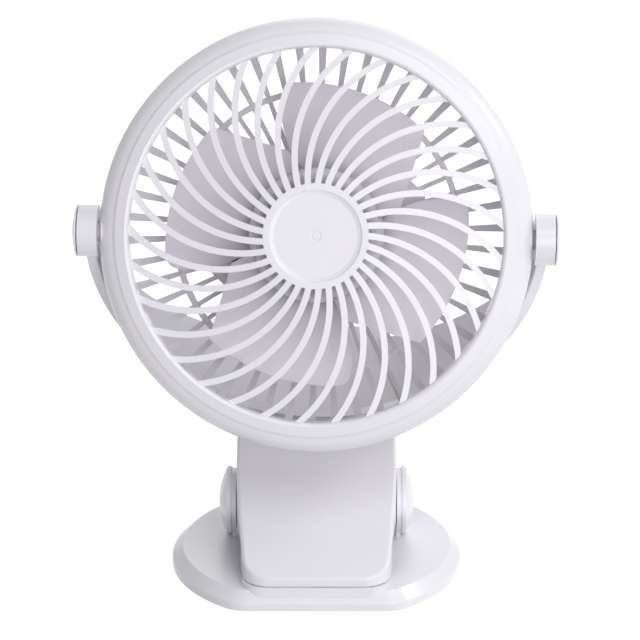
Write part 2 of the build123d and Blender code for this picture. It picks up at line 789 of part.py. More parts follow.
def pivot_cap(side):
    """A domed cap that closes the outer end of one pivot boss."""
    rim_x = pivot_boss_outer + pivot_cap_groove
    edge_x = rim_x + pivot_cap_rim
    crown_x = edge_x + pivot_cap_dome
    spigot_x = pivot_boss_outer - pivot_recess_depth + part_gap + pivot_head_thickness + part_gap
    spigot_radius = pivot_head_radius + 2 * part_gap
    half_x = crown_x - crown_drop(pivot_boss_radius, pivot_cap_dome)
    with BuildPart() as cap:
        with BuildSketch(head):
            with BuildLine():
                Polyline(
                    (side * crown_x, crown_flat),
                    (side * crown_x, 0),
                    (side * spigot_x, 0),
                    (side * spigot_x, spigot_radius),
                    (side * rim_x, spigot_radius),
                    (side * rim_x, pivot_boss_radius),
                    (side * edge_x, pivot_boss_radius),
                )
                ThreePointArc(
                    (side * edge_x, pivot_boss_radius),
                    (side * half_x, pivot_boss_radius / 2),
                    (side * crown_x, crown_flat),
                )
            make_face()
        revolve(axis=tilt_axis)
    return cap


pivot_cap_left = pivot_cap(-1)
pivot_cap_left.part.label = "pivot_cap_left"
export_step(pivot_cap_left.part, "parts/pivot_cap_left.step")

pivot_cap_right = pivot_cap(1)
pivot_cap_right.part.label = "pivot_cap_right"
export_step(pivot_cap_right.part, "parts/pivot_cap_right.step")


def pivot_pin(side):
    """A headed pin, fixed in the head's ring, that the yoke's boss turns on."""
    head_inner = pivot_boss_outer - pivot_recess_depth + part_gap
    with BuildPart() as pin:
        with BuildSketch(yoke_side.offset(side * ring_boss_inner)):
            Circle(pivot_pin_radius)
        extrude(amount=side * (head_inner - ring_boss_inner))
        with BuildSketch(yoke_side.offset(side * head_inner)):
            Circle(pivot_head_radius)
        extrude(amount=side * pivot_head_thickness)
    return pin


pivot_pin_left = pivot_pin(-1)
pivot_pin_left.part.label = "pivot_pin_left"
export_step(pivot_pin_left.part, "parts/pivot_pin_left.step")

pivot_pin_right = pivot_pin(1)
pivot_pin_right.part.label = "pivot_pin_right"
export_step(pivot_pin_right.part, "parts/pivot_pin_right.step")

# ================================================================ fan head: ring and front grille
ring_front_inner = seam_radius + seam_gap / 2
ring_inner = ring_radius - ring_wall

ring_front_edge = (ring_front_inner, ring_front)
ring_barrel_front = (ring_radius, ring_shoulder)
ring_barrel_back = (ring_back_radius, ring_back_shoulder)
ring_back_edge = (ring_inner, ring_back)

with BuildPart() as outer_ring:
    with BuildSketch(head_section):
        with BuildLine():
            ThreePointArc(
                ring_front_edge,
                bulge_point(ring_front_edge, ring_barrel_front, ring_front_bulge),
                ring_barrel_front,
            )
            Line(ring_barrel_front, ring_barrel_back)
            ThreePointArc(
                ring_barrel_back,
                bulge_point(ring_barrel_back, ring_back_edge, ring_back_bulge),
                ring_back_edge,
            )
            Polyline(
                ring_back_edge,
                (ring_inner, ring_shoulder),
                (ring_front_inner, ring_front - 1.4 * ring_wall),
                ring_front_edge,
            )
        make_face()
    revolve(axis=fan_axis)
    for side in (-1, 1):
        with BuildSketch(yoke_side.offset(side * ring_boss_inner)):
            Circle(ring_boss_radius)
        extrude(amount=side * (ring_inner + ring_wall / 2 - ring_boss_inner))
        with BuildSketch(yoke_side.offset(side * ring_boss_inner)):
            Circle(pivot_pin_radius)
        extrude(amount=side * (ring_radius - ring_boss_inner + ring_wall), mode=Mode.SUBTRACT)
outer_ring.part.label = "outer_ring"
export_step(outer_ring.part, "parts/outer_ring.step")


flange_outer = seam_radius - seam_gap / 2
skirt_outer = opening_radius + grille_skirt
flange_back = flange_front - flange_bevel - flange_thickness
rib_start_radius = collar_radius - rib_width / 2
rib_end_radius = opening_radius + grille_skirt / 2
rib_line = ThreePointArc(
    clock(rib_start_radius, rib_start_angle),
    clock(rib_middle_radius, rib_start_angle + rib_middle_turn),
    clock(rib_end_radius, rib_start_angle + rib_end_turn),
    mode=Mode.PRIVATE,
)


def rib_front(radius):
    """Height of the front of the swirling ribs, which fall away outwards."""
    fall = (grille_front - grille_rim_front) / (seam_radius - collar_radius)
    return grille_front - (radius - collar_radius) * fall


cap_front = grille_front - cap_recess
cap_back = cap_front - cap_thickness

with BuildPart() as swirl_ribs:
    with BuildSketch(head):
        with PolarLocations(0, rib_count):
            SlotArc(rib_line, rib_width)
    extrude(amount=grille_front)
    with BuildSketch(head_section):
        with BuildLine():
            Polyline(
                (cap_radius, rib_front(cap_radius)),
                (skirt_outer, rib_front(skirt_outer)),
                (skirt_outer, rib_front(skirt_outer) - rib_depth),
                (cap_radius, rib_front(cap_radius) - rib_depth),
                close=True,
            )
        make_face()
    revolve(axis=fan_axis, mode=Mode.INTERSECT)

with BuildPart() as front_grille:
    with BuildSketch(head_section):
        with BuildLine():
            Polyline(
                (opening_radius, lip_front - lip_round),
                (opening_radius, grille_skirt_back),
                (skirt_outer, grille_skirt_back),
                (skirt_outer, flange_back),
                (flange_outer, flange_back),
                (flange_outer, flange_front - flange_bevel),
                (flange_outer - flange_bevel, flange_front),
                (opening_radius + lip_round, lip_front),
            )
            CenterArc((opening_radius + lip_round, lip_front - lip_round), lip_round, 90, 90)
        make_face()
    revolve(axis=fan_axis)
    with BuildSketch(head_section):
        with BuildLine():
            Polyline(
                (0, cap_back),
                (cap_radius, cap_back),
                (cap_radius, grille_front),
                (collar_radius, grille_front),
                (collar_radius, collar_back),
                (cap_radius, collar_back),
                (cap_radius - grille_skirt, cap_back - grille_skirt),
                (0, cap_back - grille_skirt),
                close=True,
            )
        make_face()
    revolve(axis=fan_axis)
    add(swirl_ribs.part)
front_grille.part.label = "front_grille"
export_step(front_grille.part, "parts/front_grille.step")

with BuildPart() as centre_cap:
    with BuildSketch(head.offset(cap_back)):
        Circle(cap_radius - cap_play)
    extrude(amount=cap_thickness)
    with BuildSketch(head.offset(cap_front)):
        Circle(dimple_radius)
        Circle(dimple_core_radius, mode=Mode.SUBTRACT)
    extrude(amount=-dimple_depth, mode=Mode.SUBTRACT)
centre_cap.part.label = "centre_cap"
export_step(centre_cap.part, "parts/centre_cap.step")

# ================================================================ fan head: rear grille
rear_rim_outer = ring_inner - part_gap
rear_rim_inner = rear_rim_outer - rear_rim_thickness
rear_plate_front = rear_plate_z + rear_wall / 2
rear_plate_back = rear_plate_z - rear_wall / 2
rear_crown = rear_plate_back - rear_crown_height
mount_corner = Vector(mount_length / 2 - mount_corner_radius, mount_width / 2 - mount_corner_radius).length
rib_flat_radius = mount_corner + mount_corner_radius + mount_clear
rib_outer_end = rear_rim_inner + rear_rim_thickness / 2
rib_inner_end = rear_plate_radius - rear_wall
rib_side = Plane(origin=pivot, x_dir=head.y_dir, z_dir=head.x_dir)

with BuildPart() as rear_rib:
    with BuildSketch(rib_side):
        with BuildLine():
            Polyline(
                (rib_outer_end, ring_back),
                (rear_ring_radius, rear_ring_z - rear_wall / 2),
                (rib_flat_radius, rear_plate_back),
                (rib_inner_end, rear_plate_back),
                (rib_inner_end, rear_plate_front),
                (rib_flat_radius, rear_plate_front),
                (rear_ring_radius, rear_ring_z + rear_wall / 2),
                (rib_outer_end, ring_back + rear_wall),
                close=True,
            )
        make_face()
    extrude(amount=rear_rib_rim_width, both=True)
    with BuildSketch(head.offset(rear_crown)):
        with BuildLine():
            Polyline(
                (-rear_rib_rim_width / 2, rib_outer_end),
                (-rear_rib_ring_width / 2, rear_ring_radius),
                (-rear_rib_ring_width / 2, rib_inner_end),
                (rear_rib_ring_width / 2, rib_inner_end),
                (rear_rib_ring_width / 2, rear_ring_radius),
                (rear_rib_rim_width / 2, rib_outer_end),
                close=True,
            )
        make_face()
    extrude(amount=-rear_crown, mode=Mode.INTERSECT)

with BuildPart() as rear_grille:
    with BuildSketch(head_section):
        with BuildLine():
            Polyline(
                (rear_rim_inner, rear_rim_front),
                (rear_rim_outer, rear_rim_front),
                (rear_rim_outer, ring_back),
                (rear_rim_inner, ring_back),
                close=True,
            )
        make_face()
    revolve(axis=fan_axis)
    with BuildSketch(head_section):
        with Locations((rear_ring_radius, rear_ring_z)):
            Rectangle(rear_ring_width, rear_ring_width)
    revolve(axis=fan_axis)
    with BuildSketch(head_section):
        with BuildLine():
            Polyline(
                (0, rear_crown),
                (0, rear_crown + rear_wall),
                (rear_crown_radius - rear_wall, rear_crown + rear_wall),
                (rear_crown_radius, rear_plate_front),
                (rear_plate_radius, rear_plate_front),
                (rear_plate_radius, rear_plate_back),
                (rear_crown_radius, rear_crown),
                close=True,
            )
        make_face()
    revolve(axis=fan_axis)
    rib_step = 360 / rear_rib_count
    add([rear_rib.part.rotate(fan_axis, -rear_rib_start_angle - k * rib_step) for k in range(rear_rib_count)])
rear_grille.part.label = "rear_grille"
export_step(rear_grille.part, "parts/rear_grille.step")

# ================================================================ fan head: motor
mount_front = rear_plate_front + mount_thickness
mount_screw_spots = [clock(mount_screw_radius, angle) for angle in mount_screw_angles]
motor_front = mount_front + motor_length
bush_front = motor_front + motor_nose_length
shaft_back = motor_front - shaft_in_motor
shaft_front = hub_front - hub_wall / 2

with BuildPart() as motor_mount:
    with BuildSketch(head.offset(rear_plate_front)):
        RectangleRounded(mount_length, mount_width, mount_corner_radius, rotation=90 - mount_lean)
    extrude(amount=mount_thickness)
    with BuildSketch(head.offset(mount_front)):
        Circle(motor_radius + mount_cup_wall)
        Circle(motor_radius, mode=Mode.SUBTRACT)
    extrude(amount=mount_cup_height)
    with BuildSketch(head.offset(rear_plate_front)):
        with Locations(*mount_screw_spots):
            Circle(screw_shank_radius)
    extrude(amount=mount_thickness, mode=Mode.SUBTRACT)
motor_mount.part.label = "motor_mount"
export_step(motor_mount.part, "parts/motor_mount.step")

with BuildPart() as motor_mount_screws:
    with BuildSketch(head.offset(rear_plate_front)):
        with Locations(*mount_screw_spots):
            Circle(screw_shank_radius)
    extrude(amount=mount_thickness)
    with BuildSketch(head.offset(mount_front)):
        with Locations(*mount_screw_spots):
            Circle(screw_head_radius)
    extrude(amount=screw_head_height)
motor_mount_screws.part.label = "motor_mount_screws"
export_step(motor_mount_screws.part, "parts/motor_mount_screws.step")

with BuildPart() as motor:
    with BuildSketch(head.offset(mount_front)):
        Circle(motor_radius)
    extrude(amount=motor_length)
    with BuildSketch(head.offset(motor_front)):
        Circle(motor_nose_radius)
    extrude(amount=motor_nose_length)
    with BuildSketch(head.offset(bush_front)):
        Circle(bush_radius)
    extrude(amount=-bush_length, mode=Mode.SUBTRACT)
    with BuildSketch(head.offset(shaft_back - part_gap)):
        Circle(shaft_radius + part_gap)
    extrude(amount=shaft_in_motor, mode=Mode.SUBTRACT)
motor.part.label = "motor"
export_step(motor.part, "parts/motor.step")

with BuildPart() as motor_bush:
    with BuildSketch(head.offset(bush_front - bush_length)):
        Circle(bush_radius)
        Circle(shaft_radius + running_fit, mode=Mode.SUBTRACT)
    extrude(amount=bush_length)
motor_bush.part.label = "motor_bush"
export_step(motor_bush.part, "parts/motor_bush.step")

lead_turn = -(rear_rib_start_angle + lead_rib * 360 / rear_rib_count)
lead_section = Plane(
    origin=pivot,
    x_dir=head.y_dir.rotate(Axis((0, 0, 0), facing), lead_turn),
    z_dir=head.x_dir.rotate(Axis((0, 0, 0), facing), lead_turn),
)
lead_lift = lead_radius + lead_clear

with BuildPart() as motor_lead:
    with BuildLine(lead_section) as lead_path:
        FilletPolyline(
            (lead_start, mount_front + lead_lift),
            (lead_step_start, mount_front + lead_lift),
            (lead_step_end, rear_plate_front + lead_lift),
            (rib_flat_radius, rear_plate_front + lead_lift),
            (rear_ring_radius, rear_ring_z + rear_ring_width / 2 + 2 * lead_lift),
            (lead_end, ring_back + rear_wall + lead_lift),
            radius=6 * lead_radius,
        )
    with BuildSketch(Plane(origin=lead_path.line @ 0, z_dir=lead_path.line % 0)):
        Circle(lead_radius)
    sweep(path=lead_path.line)
motor_lead.part.label = "motor_lead"
export_step(motor_lead.part, "parts/motor_lead.step")

# ================================================================ impeller
hub_inner = hub_radius - hub_wall
hub_ceiling = hub_front - hub_wall
blade_middle_angle = (blade_lead_angle + blade_trail_root) / 2
blade_turn = radians(blade_trail_root - blade_lead_angle)
blade_pitch = blade_depth / blade_turn          # front-to-back travel per radian of turn
blade_centre = (hub_front + hub_back) / 2
blade_inner = hub_radius - hub_wall / 2
blade_half_chord = blade_tip_radius * sin(blade_turn / 2) + 2 * blade_thickness
blade_middle_radius = (blade_inner + blade_tip_radius) / 2


def blade_section(distance):
    """The blade's cambered strip in a plane square to its middle radius."""
    across, up = clock(distance, blade_middle_angle)
    side_across, side_up = clock(1, blade_middle_angle + 90)
    plane = Plane(
        origin=head.from_local_coords((across, up, blade_centre)),
        x_dir=head.x_dir * side_across + head.y_dir * side_up,
        z_dir=head.x_dir * (across / distance) + head.y_dir * (up / distance),
    )
    rise = blade_pitch / distance * blade_half_chord
    half = blade_thickness / 2
    with BuildSketch(plane) as section:
        with BuildLine():
            Line((-blade_half_chord, rise + half), (-blade_half_chord, rise - half))
            ThreePointArc(
                (-blade_half_chord, rise - half), (0, blade_camber - half), (blade_half_chord, -rise - half)
            )
            Line((blade_half_chord, -rise - half), (blade_half_chord, -rise + half))
            ThreePointArc(
                (blade_half_chord, -rise + half), (0, blade_camber + half), (-blade_half_chord, rise + half)
            )
        make_face()
    return section.sketch


with BuildPart() as blade:
    add(blade_section(blade_inner * cos(blade_turn / 2) - blade_thickness))
    add(blade_section(blade_middle_radius))
    add(blade_section(blade_tip_radius + blade_thickness))
    loft()
    with BuildSketch(head.offset(-2 * blade_depth)) as blade_plan:
        with BuildLine():
            tip_lead = clock(blade_tip_radius + blade_horn, blade_lead_angle + blade_tip_sweep)
            tip_trail = clock(blade_tip_radius, blade_trail_angle)
            heel_corner = clock(blade_heel_radius, blade_heel_angle)
            root_lead = clock(blade_inner, blade_lead_angle + blade_root_sweep)
            root_trail = clock(blade_inner, blade_trail_root)
            ThreePointArc(root_lead, clock(blade_middle_radius, blade_lead_angle), tip_lead)
            ThreePointArc(tip_lead, clock(blade_tip_radius, (blade_lead_angle + blade_trail_angle) / 2), tip_trail)
            Polyline(tip_trail, heel_corner, root_trail)
            ThreePointArc(root_trail, clock(blade_inner, blade_middle_angle), root_lead)
        make_face()
        for corner, rounding in (
            (tip_lead, blade_lead_corner), (tip_trail, blade_trail_corner), (heel_corner, blade_heel_corner)
        ):
            spot = head.from_local_coords((*corner, -2 * blade_depth))
            fillet(blade_plan.vertices().sort_by_distance(spot)[0], rounding)
    extrude(amount=4 * blade_depth, mode=Mode.INTERSECT)

with BuildPart() as impeller:
    with BuildSketch(head_section):
        with BuildLine():
            Polyline(
                (hub_radius, hub_front - hub_shoulder),
                (hub_radius, hub_back),
                (hub_inner, hub_back),
                (hub_inner, hub_front - hub_shoulder),
                (hub_radius - hub_shoulder, hub_ceiling),
                (hub_boss_radius, hub_ceiling),
                (hub_boss_radius, hub_ceiling - hub_boss_length),
                (shaft_radius, hub_ceiling - hub_boss_length),
                (shaft_radius, shaft_front),
                (0, shaft_front),
                (0, hub_front),
                (hub_radius - hub_shoulder, hub_front),
            )
            RadiusArc(
                (hub_radius - hub_shoulder, hub_front), (hub_radius, hub_front - hub_shoulder), hub_shoulder
            )
        make_face()
    revolve(axis=fan_axis)
    for index in range(blade_count):
        add(blade.part.rotate(fan_axis, index * 360 / blade_count))
impeller.part.label = "impeller"
export_step(impeller.part, "parts/impeller.step")

with BuildPart() as motor_shaft:
    with BuildSketch(head.offset(shaft_back)):
        Circle(shaft_radius)
    extrude(amount=shaft_front - shaft_back)
motor_shaft.part.label = "motor_shaft"
export_step(motor_shaft.part, "parts/motor_shaft.step")
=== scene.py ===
import json
import math

import bmesh
import bpy
from mathutils import Matrix, Vector


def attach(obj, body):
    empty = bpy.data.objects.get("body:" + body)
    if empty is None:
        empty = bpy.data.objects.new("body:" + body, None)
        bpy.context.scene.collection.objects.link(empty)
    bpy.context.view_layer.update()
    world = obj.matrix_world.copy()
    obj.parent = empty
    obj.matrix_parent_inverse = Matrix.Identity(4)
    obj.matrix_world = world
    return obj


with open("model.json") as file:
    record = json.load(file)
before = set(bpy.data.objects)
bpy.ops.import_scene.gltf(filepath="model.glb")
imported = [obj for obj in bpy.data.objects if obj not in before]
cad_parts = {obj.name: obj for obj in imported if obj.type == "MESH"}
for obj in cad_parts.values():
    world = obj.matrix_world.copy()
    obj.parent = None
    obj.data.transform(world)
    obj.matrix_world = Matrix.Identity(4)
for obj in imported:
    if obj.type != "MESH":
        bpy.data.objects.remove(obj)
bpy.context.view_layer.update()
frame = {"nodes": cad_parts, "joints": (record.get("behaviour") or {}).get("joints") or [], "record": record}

# ---------------------------------------------------------------- camera, floor and light
MM = 0.001                   # lengths are in metres unless a line says millimetres
CAMERA_AT = Vector((1.52, -1023.9, 475.0)) * MM
CAMERA_DOWN = 19.55          # degrees by which the camera looks down
CAMERA_LENS = 143.43         # millimetres, on a sensor 36 mm wide
SENSOR_WIDTH = 36.0

FLOOR_HALF = 3.0
FLOOR_GREY = 0.72
FLOOR_ROUGHNESS = 0.9
FLOOR_GLOW = 0.72            # lifts the lit floor to white for the camera and in reflections, lights nothing
WORLD_LIGHT = 0.43
WORLD_LEAN = 0.25            # how much brighter the right is than the middle, and the left darker
WORLD_COLOUR = (0.985, 0.975, 1.0)
WHITE = (1.0, 1.0, 1.0, 1.0)

# name, place, size and power of each softbox: either side, above the camera, below it and behind the part
LAMPS = (
    ("key", (0.96, 0.0, 0.85), 0.2, 1.6),
    ("fill", (-0.96, 0.0, 0.85), 0.28, 0.1),
    ("front", (0.55, -0.85, 1.15), 0.9, 4.9),
    ("low", (0.35, -1.25, 0.36), 0.7, 4.6),
    ("rear", (0.15, 1.0, 0.9), 0.9, 1.7),
)
LAMPS_AIM = (0.0, 0.0, 0.1)

# ---------------------------------------------------------------- surfaces (noise scales are per metre)
NOISE_MIDDLE = (0.3, 0.7)    # the range that most of a noise's values fall in
EDGE_RADIUS = 0.35 * MM      # plastic edges but the white shells' are softened by this much in the shading
EDGE_GAIN = 3.0
EDGE_RUBBED = 0.12           # how much rougher an edge gets
SHADING_SAMPLES = 6

FLOW_SCALE = 28.0
FLOW_TONE = (0.965, 0.965, 0.965)
GLOSS_SCALE = 160.0
GLOSS_SPREAD = (0.93, 1.08)
SKIN_SCALE = 2600.0
SKIN_DEPTH = 0.05 * MM
DUST_TONE = (0.66, 0.62, 0.6)
DUST_REACH = 3 * MM
# the two lines below paint shade onto the impeller: a dark blue-grey close behind the front grille's collar
HUB_SHADE_TONE = (0.24, 0.26, 0.33)    # the shade close behind the front grille's collar
HUB_SHADE_REACH = 7 * MM
PLASTIC_IOR = 1.49
COAT_ROUGHNESS = 0.22
GLOW_SPREAD = (1.0, 0.86, 0.9)
GLOW_DEPTH = 2.2 * MM

STREAK_SCALE = 400.0
STREAK_TONE = (0.85, 0.85, 0.85)
STREAK_SPREAD = (0.8, 1.25)

PEBBLE_SCALE = 1500.0
PEBBLE_STRENGTH = 0.4
PEBBLE_DEPTH = 0.1 * MM
RUBBER_DUST_SCALE = 90.0
RUBBER_TONE = (0.9, 0.9, 0.9)
RUBBER_ROUGHNESS = 0.75

LENS_SCALE = 300.0
LENS_ROUGHNESS = (0.05, 0.12)
LENS_COLOUR = (0.9, 0.95, 0.98, 1.0)
LENS_CLEAR = 0.8
LENS_IOR = 1.5

MIX_FIRST, MIX_SECOND, MIX_RESULT = 6, 7, 2    # the colour sockets of a mix node

# ---------------------------------------------------------------- thin trim (millimetres, on the head's axis)
CAP_WALL = 19.2              # radius where the cap's face meets its collar
CAP_FACE = 13.2              # height of the cap's face
FILLET_WIDTH = 1.8
FILLET_HEIGHT = 0.85
FILLET_STEP = 10             # degrees
EMBED = 0.1                  # how deep the fillet's back lies in the cap

# radius and height of points on the sloping floor of the cap's dimple, and the height of its back
DISH = ((2.72, 13.16), (2.4, 13.02), (2.05, 12.9), (1.7, 12.83), (1.4, 12.86), (1.2, 13.0))
DISH_BACK = 12.6

# radius of the seam between grille and ring, and how far out and how high the bead's corners lie
SEAM = 84.1
SEAM_BEAD = ((-0.09, 10.68), (0.03, 10.56), (0.12, 10.42), (0.2, 10.35), (0.2, 10.2), (-0.09, 10.2))


# ---------------------------------------------------------------- steps of a material
def new_material(name):
    """An empty node material with a Principled shader joined to its output."""
    material = bpy.data.materials.new(name)
    material.use_nodes = True
    nodes = material.node_tree.nodes
    return material, nodes, material.node_tree.links, nodes["Principled BSDF"]


def linear(*values):
    """A colour given in 0..255 as it shows on a screen, made linear for the shader."""
    return tuple(((v / 255 + 0.055) / 1.055) ** 2.4 for v in values)


def darker(colour, tone):
    """A colour with each channel times its share in the tone."""
    return tuple(c * t for c, t in zip(colour, tone))


def in_place(nodes, links, kind, scale):
    """A texture in the object's own metres."""
    place = nodes.new("ShaderNodeTexCoord")
    texture = nodes.new(kind)
    links.new(place.outputs["Object"], texture.inputs["Vector"])
    texture.inputs["Scale"].default_value = scale
    return texture


def noise(nodes, links, scale, detail=3.0, roughness=0.5):
    """A noise's value."""
    texture = in_place(nodes, links, "ShaderNodeTexNoise", scale)
    texture.inputs["Detail"].default_value = detail
    texture.inputs["Roughness"].default_value = roughness
    return texture.outputs["Fac"]


def spread(nodes, links, source, low, high):
    """Maps a noise's middle range to low..high."""
    mapped = nodes.new("ShaderNodeMapRange")
    mapped.inputs["From Min"].default_value, mapped.inputs["From Max"].default_value = NOISE_MIDDLE
    mapped.inputs["To Min"].default_value = low
    mapped.inputs["To Max"].default_value = high
    links.new(source, mapped.inputs["Value"])
    return mapped.outputs["Result"]


def tint(nodes, links, factor, first, second):
    """A colour that goes from the first, a tone or a socket, to the second tone."""
    mix = nodes.new("ShaderNodeMix")
    mix.data_type = "RGBA"
    if isinstance(first, tuple):
        mix.inputs[MIX_FIRST].default_value = (*first, 1.0)
    else:
        links.new(first, mix.inputs[MIX_FIRST])
    mix.inputs[MIX_SECOND].default_value = (*second, 1.0)
    links.new(factor, mix.inputs[0])
    return mix.outputs[MIX_RESULT]


def calculate(nodes, links, operation, first, second):
    """One step of arithmetic on a socket and a number or another socket."""
    step = nodes.new("ShaderNodeMath")
    step.operation = operation
    links.new(first, step.inputs[0])
    if isinstance(second, float):
        step.inputs[1].default_value = second
    else:
        links.new(second, step.inputs[1])
    return step.outputs[0]


def relief(nodes, links, height, strength, depth):
    """A bump node that raises the surface by a height."""
    bump = nodes.new("ShaderNodeBump")
    bump.inputs["Strength"].default_value = strength
    bump.inputs["Distance"].default_value = depth
    links.new(height, bump.inputs["Height"])
    return bump


def soft_edges(nodes):
    """The surface's direction with its edges rounded over."""
    bevel = nodes.new("ShaderNodeBevel")
    bevel.samples = SHADING_SAMPLES
    bevel.inputs["Radius"].default_value = EDGE_RADIUS
    return bevel.outputs["Normal"]


def edge_mask(nodes, links, rounded):
    """Near 1 along edges and 0 on open surfaces."""
    surface = nodes.new("ShaderNodeNewGeometry")
    dot = nodes.new("ShaderNodeVectorMath")
    dot.operation = "DOT_PRODUCT"
    links.new(surface.outputs["Normal"], dot.inputs[0])
    links.new(rounded, dot.inputs[1])
    turned = calculate(nodes, links, "MULTIPLY", dot.outputs["Value"], -EDGE_GAIN)
    lifted = calculate(nodes, links, "ADD", turned, EDGE_GAIN)
    lifted.node.use_clamp = True
    return lifted


def crevice_mask(nodes, links, reach, alone):
    """Near 1 deep in seams and inner corners, where dust settles and shade falls; it places dust and painted
    shade; alone counts no other piece's walls.
    """
    hollow = nodes.new("ShaderNodeAmbientOcclusion")
    hollow.samples = SHADING_SAMPLES
    hollow.only_local = alone
    hollow.inputs["Distance"].default_value = reach
    turned = calculate(nodes, links, "MULTIPLY", hollow.outputs["AO"], -1.0)
    return calculate(nodes, links, "ADD", turned, 1.0)


# ---------------------------------------------------------------- materials
def moulded_plastic(name, colour, roughness, coat=0.0, grain=0.02, dust=0.1, edges=True, glow=0.0,
                    dust_and_shade_tone=DUST_TONE, reach=DUST_REACH, alone=True):
    """Injection-moulded plastic: flow tone, dust in corners (painted shade in the impeller's corners), rubbed
    edges, mould grain, uneven gloss.

    A thin wall lets some light through, as much as glow says.
    """
    material, nodes, links, shader = new_material(name)
    flow = noise(nodes, links, FLOW_SCALE, detail=2.0)
    base = tint(nodes, links, flow, darker(colour, FLOW_TONE), colour)
    # the crevice mask darkens corners towards the dust tone: dust on most plastics, painted shade behind the
    # grille's collar on the impeller
    dust_and_shade_share = calculate(nodes, links, "MULTIPLY", crevice_mask(nodes, links, reach, alone), dust)
    links.new(tint(nodes, links, dust_and_shade_share, base, darker(colour, dust_and_shade_tone)), shader.inputs["Base Color"])

    gloss = noise(nodes, links, GLOSS_SCALE, detail=4.0)
    uneven = spread(nodes, links, gloss, *(roughness * share for share in GLOSS_SPREAD))
    skin = noise(nodes, links, SKIN_SCALE, detail=2.0)
    bump = relief(nodes, links, skin, grain, SKIN_DEPTH)
    if edges:
        rounded = soft_edges(nodes)
        rubbed = calculate(nodes, links, "MULTIPLY", edge_mask(nodes, links, rounded), EDGE_RUBBED)
        uneven = calculate(nodes, links, "ADD", uneven, rubbed)
        links.new(rounded, bump.inputs["Normal"])
        links.new(rounded, shader.inputs["Coat Normal"])
    links.new(uneven, shader.inputs["Roughness"])
    links.new(bump.outputs["Normal"], shader.inputs["Normal"])

    shader.inputs["IOR"].default_value = PLASTIC_IOR
    shader.inputs["Coat Weight"].default_value = coat
    shader.inputs["Coat Roughness"].default_value = COAT_ROUGHNESS
    shader.inputs["Subsurface Weight"].default_value = glow
    shader.inputs["Subsurface Radius"].default_value = GLOW_SPREAD
    shader.inputs["Subsurface Scale"].default_value = GLOW_DEPTH
    return material


def metal(name, colour, roughness):
    """Drawn or turned metal with fine streaks."""
    material, nodes, links, shader = new_material(name)
    streak = noise(nodes, links, STREAK_SCALE, detail=5.0, roughness=0.7)
    links.new(tint(nodes, links, streak, darker(colour, STREAK_TONE), colour), shader.inputs["Base Color"])
    uneven = spread(nodes, links, streak, *(roughness * share for share in STREAK_SPREAD))
    links.new(uneven, shader.inputs["Roughness"])
    shader.inputs["Metallic"].default_value = 1.0
    return material


def rubber(name, colour):
    """Soft rubber with a pebbled skin."""
    material, nodes, links, shader = new_material(name)
    dust = noise(nodes, links, RUBBER_DUST_SCALE)
    links.new(tint(nodes, links, dust, darker(colour, RUBBER_TONE), colour), shader.inputs["Base Color"])
    pebble = in_place(nodes, links, "ShaderNodeTexVoronoi", PEBBLE_SCALE)
    bump = relief(nodes, links, pebble.outputs["Distance"], PEBBLE_STRENGTH, PEBBLE_DEPTH)
    links.new(bump.outputs["Normal"], shader.inputs["Normal"])
    shader.inputs["Roughness"].default_value = RUBBER_ROUGHNESS
    return material


def glass(name):
    """Clear light guide."""
    material, nodes, links, shader = new_material(name)
    swirl = noise(nodes, links, LENS_SCALE)
    links.new(spread(nodes, links, swirl, *LENS_ROUGHNESS), shader.inputs["Roughness"])
    shader.inputs["Base Color"].default_value = LENS_COLOUR
    shader.inputs["Transmission Weight"].default_value = LENS_CLEAR
    shader.inputs["IOR"].default_value = LENS_IOR
    return material


# slot, colour, roughness and what sets it apart
PLASTICS = (
    ("white_plastic", (241, 239, 245), 0.3, {"coat": 0.4, "grain": 0.003, "edges": False}),
    ("grille_plastic", (243, 239, 245), 0.38, {"glow": 0.3}),
    # the impeller's dust settings paint shade: a deep blue-grey darkening close behind the front grille's
    # collar
    ("impeller_plastic", (242, 238, 244), 0.34,
     {"dust": 0.9, "glow": 0.3, "dust_and_shade_tone": HUB_SHADE_TONE, "reach": HUB_SHADE_REACH, "alone": False}),
    ("cell_sleeve", (63, 111, 168), 0.35, {}),
    ("circuit_board", (47, 107, 70), 0.45, {}),
    ("dark_pin", (196, 192, 200), 0.5, {}),
    ("lead_sleeve", (236, 227, 223), 0.5, {}),
)
METALS = (
    ("screw_steel", (180, 180, 184), 0.3),
    ("mount_screw", (70, 62, 66), 0.35),
    ("spring_steel", (142, 144, 150), 0.25),
    ("socket_steel", (196, 198, 202), 0.25),
    ("motor_steel", (169, 169, 174), 0.35),
    ("bush_brass", (185, 151, 90), 0.35),
    ("shaft_steel", (191, 193, 196), 0.2),
)
MATERIALS = {slot: moulded_plastic(slot, linear(*tone), rough, **more)
             for slot, tone, rough, more in PLASTICS}
MATERIALS.update((slot, metal(slot, linear(*tone), rough)) for slot, tone, rough in METALS)
MATERIALS["rubber_pad"] = rubber("rubber_pad", linear(214, 213, 219))
MATERIALS["clear_lens"] = glass("clear_lens")


def dress_node(node, slot):
    """Gives a CAD node its material."""
    piece = frame["nodes"][node]
    piece.data.materials.clear()
    piece.data.materials.append(MATERIALS[slot])


for part in frame["record"]["subparts"]:
    dress_node(part["node"], part["material_slot"])


# ---------------------------------------------------------------- thin trim
def joint_line(name):
    """A point on a joint's axis and its direction."""
    row = next(j for j in frame["joints"] if j["name"] == name)
    return Vector(row["pos_m"]), Vector(row["axis"]).normalized()


